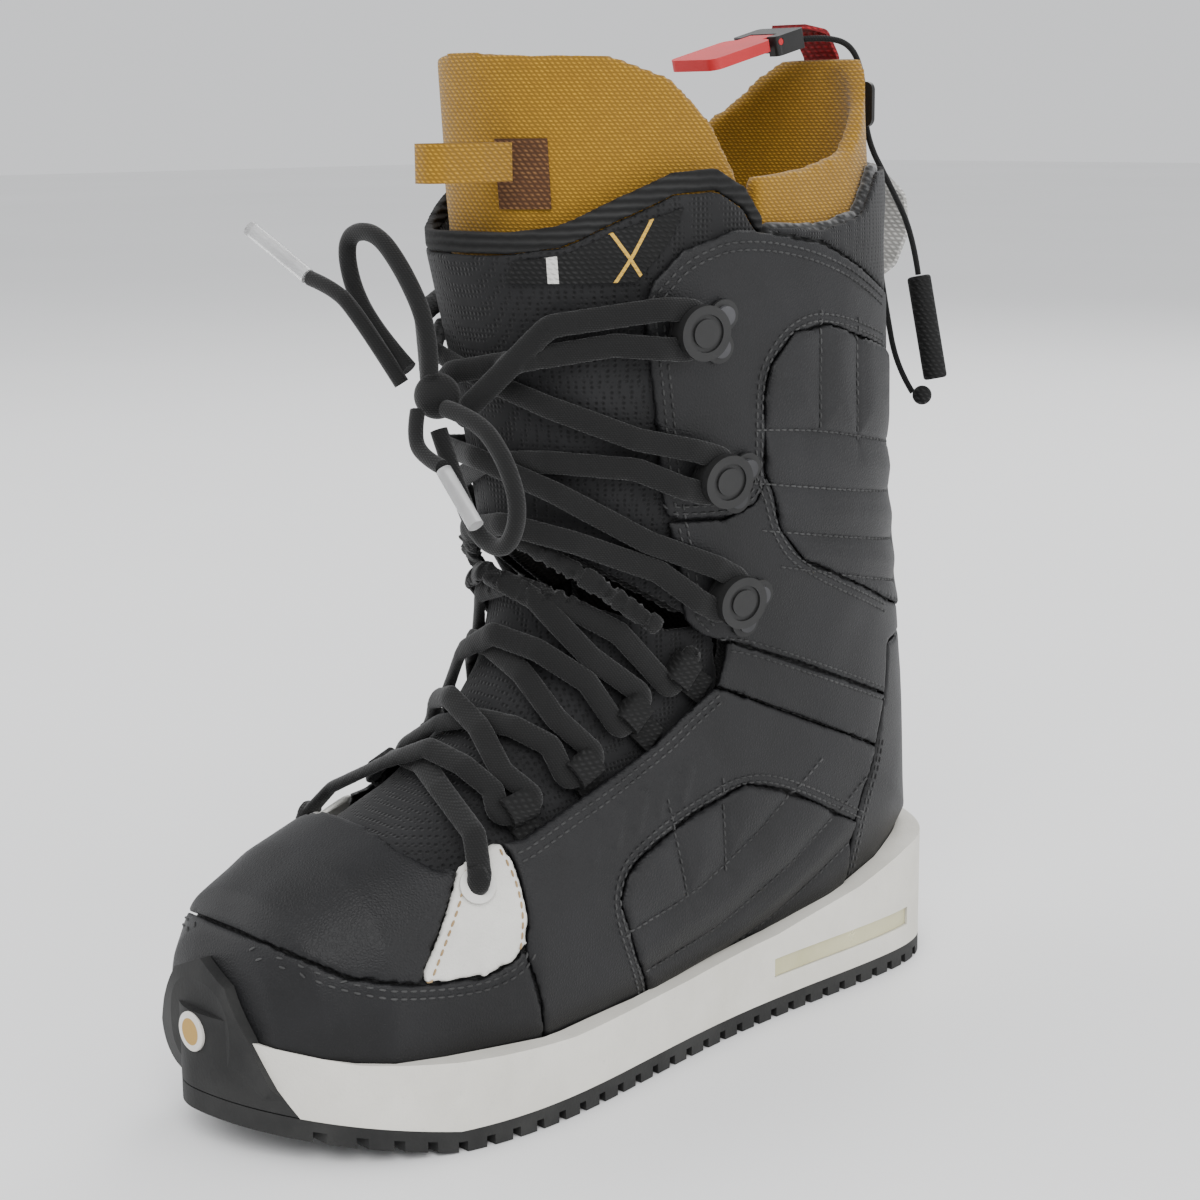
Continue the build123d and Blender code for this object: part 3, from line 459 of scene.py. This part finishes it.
def soft_piece(node_name, body, material, slot, voxel=1.3, crease=0.35, fold=0.018, seed=0, shape=None):
    """Soft copy of a CAD solid: remeshed, its edges rounded, gently wrinkled and given its relief."""
    obj = new_object("soft_" + node_name, NODES[node_name].data.copy())
    applied(
        obj,
        ("REMESH", {"mode": "VOXEL", "voxel_size": voxel * MM, "use_smooth_shade": True}),
        ("SMOOTH", {"factor": 0.5, "iterations": 3}),
    )
    points = coordinates(obj.data)
    normals = vertex_normals(obj.data)
    height = wrinkle(points, fold, seed) * crease * MM
    if shape:
        height = height + shape(points)
    facing = outward(points, normals)
    move_vertices(obj.data, normals * (height * facing)[:, None])
    paint(obj, material)
    obj.data.shade_smooth()
    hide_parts(node_name)
    if body == "ankle":
        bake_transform(obj)
    else:
        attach(obj, body)
    return obj


# ---------------------------------------------------------------- soft pieces
SOFT = {}


def add_soft(name, *args, **settings):
    SOFT[name] = soft_piece(name, *args, **settings)


for number, side in enumerate(("lateral", "medial")):
    add_soft(
        f"quarter_{side}", "foot", "black_leather", "black_leather", seed=3 + number,
        crease=0.5, fold=0.022, shape=embossed,
    )  # fmt: skip
    add_soft(f"eyelet_patch_{side}", "foot", "white_leather", "white_leather", seed=5 + number, crease=0.2)
    add_soft(
        f"quilt_lower_{side}", "foot", "quilted_leather", "quilted_leather", seed=7 + number,
        shape=lambda points: quilted(points, QUILT_LOWER),
    )  # fmt: skip
    add_soft(f"strap_{side}", "cuff", "black_leather", "black_leather", seed=9 + number, crease=0.3)
    add_soft(f"cuff_panel_{side}", "cuff", "black_leather", "black_leather", seed=11 + number, crease=0.5)
    add_soft(f"hook_panel_{side}", "cuff", "black_leather", "black_leather", seed=13 + number, crease=0.4)
    add_soft(
        f"quilt_upper_{side}", "cuff", "quilted_leather", "quilted_leather", seed=15 + number,
        shape=lambda points: quilted(points, QUILT_UPPER),
    )  # fmt: skip
add_soft("toe_rand", "foot", "black_leather", "black_leather", seed=21, crease=0.25)
add_soft("vamp", "foot", "black_leather", "black_leather", seed=22, crease=0.5, fold=0.016)
add_soft("heel_counter", "foot", "black_leather", "black_leather", seed=23, crease=0.25)
add_soft("backstay", "cuff", "black_leather", "black_leather", seed=24, crease=0.4)
add_soft("collar_pad", "cuff", "collar_mesh", "black_mesh", seed=25, crease=0.6)
add_soft("shell_tongue_lower", "foot", "black_mesh", "black_mesh", seed=26, crease=0.5)
add_soft("shell_tongue_upper", "cuff", "black_mesh", "black_mesh", seed=27, crease=0.7)
add_soft("tongue_binding", "cuff", "binding", "black_mesh", voxel=0.9, seed=28, crease=0.1)
add_soft("liner_cuff", "cuff", "liner_two_tone", "mustard_fabric", voxel=1.7, seed=29, crease=1.0, fold=0.03)
add_soft(
    "liner_tongue_upper", "cuff", "liner_two_tone", "mustard_fabric", voxel=1.5, seed=30, crease=0.8, fold=0.03
)
add_soft("liner_tongue_lower", "foot", "liner_two_tone", "mustard_fabric", voxel=2.0, seed=31, crease=0.3)
add_soft("liner_foot", "foot", "liner_two_tone", "mustard_fabric", voxel=2.2, seed=32, crease=0.4)
add_soft("lining_foot", "ankle", "lining", "footbed_foam", voxel=2.0, seed=33, crease=0.2)
add_soft("lining_cuff", "cuff", "lining", "footbed_foam", voxel=2.0, seed=34, crease=0.2)
add_soft("footbed", "foot", "lining", "footbed_foam", voxel=1.6, seed=35, crease=0.3)


# ---------------------------------------------------------------- stitching
def tree_of(names):
    """Ray tree over several soft pieces."""
    points, faces = [], []
    for name in names:
        mesh = SOFT[name].data
        start = len(points)
        points += [vertex.co.copy() for vertex in mesh.vertices]
        faces += [[start + i for i in polygon.vertices] for polygon in mesh.polygons]
    return BVHTree.FromPolygons(points, faces)


FOOT_PANELS = ["quarter_{}", "eyelet_patch_{}", "quilt_lower_{}"]
CUFF_PANELS = ["strap_{}", "cuff_panel_{}", "hook_panel_{}", "quilt_upper_{}"]


def resampled(line, pitch):
    """Points every pitch mm along a polyline in the side view, each with its direction."""
    found = []
    left = 0.0
    for start, end in zip(line, line[1:]):
        a, b = Vector(start), Vector(end)
        length = (b - a).length
        if length < 1e-6:
            continue
        at = left
        while at < length:
            found.append((a + (b - a) * (at / length), (b - a) / length))
            at += pitch
        left = at - length
    return found


def smooth_line(line, rounds=3):
    """Chaikin's corner cutting, which keeps the ends."""
    for _ in range(rounds):
        cut = [line[0]]
        for (ay, az), (by, bz) in zip(line, line[1:]):
            cut.append((ay * 0.75 + by * 0.25, az * 0.75 + bz * 0.25))
            cut.append((ay * 0.25 + by * 0.75, az * 0.25 + bz * 0.75))
        line = cut + [line[-1]]
    return line


def shifted(line, amount):
    """Side-view polyline moved amount mm to its left."""
    moved = []
    for index, (y, z) in enumerate(line):
        before = line[max(index - 1, 0)]
        after = line[min(index + 1, len(line) - 1)]
        run = Vector((after[0] - before[0], after[1] - before[1])).normalized()
        moved.append((y - run.y * amount, z + run.x * amount))
    return moved


STITCH_SIDES = 6


def add_stitch(built, centre, along, normal, length, radius):
    """One stitch: a small lens-shaped thread lying on the surface."""
    across = normal.cross(along).normalized()
    rings = []
    for share, swell in ((-0.5, 0.25), (-0.3, 0.9), (0.0, 1.0), (0.3, 0.9), (0.5, 0.25)):
        middle = centre + along * (share * length) + normal * (radius * (swell - 0.65))
        ring = []
        for k in range(STITCH_SIDES):
            angle = 2 * math.pi * k / STITCH_SIDES
            spot = middle + (across * math.cos(angle) + normal * math.sin(angle)) * radius * swell
            ring.append(built.verts.new(spot))
        rings.append(ring)
    for first, second in zip(rings, rings[1:]):
        for k in range(STITCH_SIDES):
            after = (k + 1) % STITCH_SIDES
            built.faces.new((first[k], first[after], second[after], second[k]))
    built.faces.new(list(reversed(rings[0])))
    built.faces.new(rings[-1])


def stitch_row(built, tree, line, side, pitch=3.2, length=2.5, radius=0.42):
    """Row of stitches along a side-view line, laid on the surface that looks to that side."""
    for spot, run in resampled(line, pitch):
        origin = Vector((side * 0.2, spot.x * MM, spot.y * MM))
        hit, normal, _, _ = tree.ray_cast(origin, Vector((-side, 0, 0)))
        if hit is None or hit.x * side < 0.004 or abs(normal.x) < 0.12:
            continue
        along = Vector((0, run.x, run.y))
        along = (along - normal * along.dot(normal)).normalized()
        add_stitch(built, hit, along, normal, length * MM, radius * MM)


def stitching(name, body, panels, rows, material="thread"):
    """All rows of one body on both sides, as one piece."""
    built = bmesh.new()
    for side, label in ((1, "lateral"), (-1, "medial")):
        tree = tree_of([panel.format(label) if "{}" in panel else panel for panel in panels])
        for line, offsets in rows:
            for offset in offsets:
                stitch_row(built, tree, shifted(smooth_line(line), offset), side)
    mesh = bpy.data.meshes.new(name)
    built.to_mesh(mesh)
    built.free()
    obj = new_object(name, mesh)
    paint(obj, material)
    obj.data.shade_smooth()
    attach(obj, body)
    return obj


RAND_SEAM = [(-170, 72), (-147, 69), (-133, 60), (-112, 55), (-90, 53), (-79, 56), (-76, 60)]
LOWER_QUILT_SEAM = [
    (-8, 5), (-13, 24), (-24, 42), (-32, 63), (-28, 72), (-18, 77), (7, 85), (31, 90), (52, 84),
    (97, 61),
]  # fmt: skip
HEEL_SEAM = [(104.5, 91.5), (94, 62), (95, 30), (97, 5)]
PATCH_FRONT_SEAM = [(-113.5, 50), (-111, 59), (-90, 87), (-85, 102)]
PATCH_REAR_SEAM = [(-76, 57), (-73, 70), (-73, 84), (-77, 102)]
LOWER_THROAT = [(-71, 91), (-66, 92), (-36, 102), (-8, 111.5), (10, 122), (19, 127)]
UPPER_THROAT = [(12, 146), (6, 152), (0.5, 174), (-7.7, 202), (-12, 229), (-17.7, 258)]
LEATHER_TOP = [(-22, 258), (-15, 266), (-5, 276), (17, 282), (60, 275), (105, 257)]
STRAP_SEAM = [(15, 140), (24, 142.3), (53, 131), (113, 107)]
HOOK_PANEL_SEAM = [
    (-8, 187.5), (17, 186), (30, 190), (33, 197), (31, 225), (33, 236), (44, 246), (61, 248),
    (106, 236),
]  # fmt: skip
UPPER_QUILT_SEAM = [(32.5, 201), (37, 194), (42, 180), (55, 167), (110, 144)]

stitching(
    "stitches_foot", "foot", FOOT_PANELS + ["vamp", "toe_rand", "heel_counter"],
    [(RAND_SEAM, (-2.2, -4.6)), (LOWER_QUILT_SEAM, (2.2, 4.6)), (HEEL_SEAM, (2.2, 4.6)),
     (LOWER_THROAT, (-2.6, -5.2))]
    + [(line, (0.0,)) for line in QUILT_LOWER],
)  # fmt: skip
stitching(
    "stitches_patch", "foot", ["eyelet_patch_{}"],
    [(PATCH_FRONT_SEAM, (-2.2,)), (PATCH_REAR_SEAM, (2.2,))], "tan_thread",
)  # fmt: skip
stitching(
    "stitches_cuff", "cuff", CUFF_PANELS + ["backstay"],
    [(UPPER_THROAT, (-2.6, -5.2)), (LEATHER_TOP, (-3.0, -5.6)), (STRAP_SEAM, (2.2, -2.2)),
     (HOOK_PANEL_SEAM, (2.2, 4.6)), (UPPER_QUILT_SEAM, (-2.2, -4.6))]
    + [(line, (0.0,)) for line in QUILT_UPPER],
)  # fmt: skip


# ---------------------------------------------------------------- laces
def flattened(node_name, body, surface_names, wide=1.7, thin=-0.3):
    """Lace whose round tube is pressed flatter against the tongue under it."""
    obj = new_object("flat_" + node_name, NODES[node_name].data.copy())
    applied(
        obj,
        ("REMESH", {"mode": "VOXEL", "voxel_size": 0.9 * MM, "use_smooth_shade": True}),
        ("SMOOTH", {"factor": 0.5, "iterations": 4}),
    )
    tree = tree_of(surface_names)
    points = coordinates(obj.data)
    normals = vertex_normals(obj.data)
    offsets = np.zeros_like(points)
    for index, (point, normal) in enumerate(zip(points, normals)):
        _, outward_normal, _, _ = tree.find_nearest(Vector(point))
        if outward_normal is None:
            continue
        own = Vector(normal)
        if outward_normal.dot(Vector((point[0], point[1] - 0.04, 0))) < 0:
            outward_normal = -outward_normal
        part = own.dot(outward_normal)
        flat = own - outward_normal * part
        offsets[index] = flat * (wide * MM) + outward_normal * (part * thin * MM)
    move_vertices(obj.data, offsets)
    paint(obj, "braid")
    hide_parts(node_name)
    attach(obj, body)
    return obj


for strand in "ab":
    flattened(f"lace_lower_{strand}", "foot", ["shell_tongue_lower"])
    flattened(f"lace_upper_{strand}", "cuff", ["shell_tongue_upper"])

LOOP_D = 5.8 * MM
TAIL_D = 5.0 * MM
CORD_D = 2.2 * MM
BOW_LOOP_UP = [
    (1.5, -68.5, 238.5), (5, -71, 252), (-3, -74, 270), (-15, -76, 283), (-31, -76, 281),
    (-30, -75, 265), (-20, -73, 250), (-8.5, -69, 238.5),
]  # fmt: skip
BOW_LOOP_DOWN = [
    (8.5, -68, 227), (24, -68, 225), (37, -68, 214), (44, -68, 198), (37, -68, 184), (23, -68, 187),
    (13, -68, 203), (6, -69, 220),
]  # fmt: skip
TAIL_UP_ROUTE = [(-8.5, -72, 234), (-19, -82, 258), (-29, -83.5, 264.5), (-39, -84.5, 267)]
TAIL_DOWN_ROUTE = [(0.5, -73, 226), (3, -77, 218), (10, -78.5, 212.5), (19.5, -79, 210.5)]
LINER_CORD_ROUTE = [
    (1, 107, 344), (6, 115, 345), (11, 124, 342), (12.5, 128.6, 330), (13, 129.6, 309),
    (16, 140, 292), (19, 150, 274), (20.5, 152, 258.5),
]  # fmt: skip
RETURN_CORD_ROUTE = [
    (20.8, 149.5, 214.6), (14, 148, 224), (11, 145, 246), (10.5, 140, 268), (9.5, 134, 292), (9, 129.5, 308),
]  # fmt: skip


def free_cord(name, route, diameter, replaced):
    """A free cord on one smooth curve."""
    data = bpy.data.curves.new(name, "CURVE")
    data.dimensions = "3D"
    data.resolution_u = 12
    data.bevel_depth = diameter / 2
    data.bevel_resolution = 5
    data.use_fill_caps = True
    spline = data.splines.new("NURBS")
    spline.points.add(len(route) - 1)
    for point, place in zip(spline.points, route):
        point.co = (*(value * MM for value in place), 1)
    spline.order_u = 3
    spline.use_endpoint_u = True
    obj = new_object(name, data)
    obj.data.materials.append(MATERIALS["braid"])

    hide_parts(replaced)
    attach(obj, "cuff")
    return obj


free_cord("bow_loop_up", BOW_LOOP_UP, LOOP_D, "bow_loops")
free_cord("bow_loop_down", BOW_LOOP_DOWN, LOOP_D, "bow_loops")
free_cord("tail_up", TAIL_UP_ROUTE, TAIL_D, "lace_tails")
free_cord("tail_down", TAIL_DOWN_ROUTE, TAIL_D, "lace_tails")
free_cord(
    "liner_cord_main", LINER_CORD_ROUTE, CORD_D, "liner_cord"
)
free_cord("liner_cord_return", RETURN_CORD_ROUTE, CORD_D, "liner_cord")

# ---------------------------------------------------------------- carried-over CAD nodes
CARRIED = {
    "midsole": "midsole", "heel_window_insert": "gel", "outsole": "rubber", "toe_bumper": "rubber",
    "toe_badge": "badge_ring", "eyelets": "eyelet_white", "insole_board": "board", "shank": "shank_steel",
    "lace_loops": "black_webbing", "lace_hooks": "black_plastic", "hook_rivets": "rivet",
    "lace_knot": "braid", "aglets": "clear", "heel_pull_loop": "white_webbing",
    "liner_red_loop": "red_webbing", "lock_body": "black_plastic", "pull_tab": "red_plastic",
    "cord_guide": "black_plastic", "pull_handle": "black_webbing", "liner_tongue_loop": "mustard",
    "tongue_label": "label", "liner_tongue_label": "brown_label",
}  # fmt: skip
for node_name, material_name in CARRIED.items():
    paint(NODES[node_name], material_name)

# ---------------------------------------------------------------- floor and light


LIGHTS = [  # name, place, size in metres, power in watts
    ("key", (1.3, -1.2, 1.9), 1.6, 42),
    ("fill", (-1.8, -1.3, 1.3), 2.0, 22),
    ("back", (-0.6, 1.8, 1.8), 1.6, 28),
    ("side", (2.2, 0.8, 0.9), 1.5, 20),
]


def make_stage():
    """Pale floor and soft studio light."""
    built = bmesh.new()
    bmesh.ops.create_grid(built, x_segments=2, y_segments=2, size=12)
    mesh = bpy.data.meshes.new("floor")
    built.to_mesh(mesh)
    built.free()
    floor = new_object("floor", mesh)
    floor.location.z = -0.0002
    add_material("floor", (0.86, 0.86, 0.86), (0.90, 0.90, 0.90), 0.7, "moulded", 0.01, 0.0001, 0.1, 2.0)
    paint(floor, "floor")
    for name, place, size, power in LIGHTS:
        data = bpy.data.lights.new(name, "AREA")
        data.size = size
        data.energy = power
        light = bpy.data.objects.new(name, data)
        bpy.context.collection.objects.link(light)
        light.location = place
        light.rotation_euler = (Vector((0, 0, 0.15)) - Vector(place)).to_track_quat("-Z", "Y").to_euler()
    world = bpy.data.worlds.new("studio")
    world.use_nodes = True
    world.node_tree.nodes["Background"].inputs["Color"].default_value = (0.92, 0.93, 0.95, 1)
    world.node_tree.nodes["Background"].inputs["Strength"].default_value = 1.0
    bpy.context.scene.world = world


make_stage()
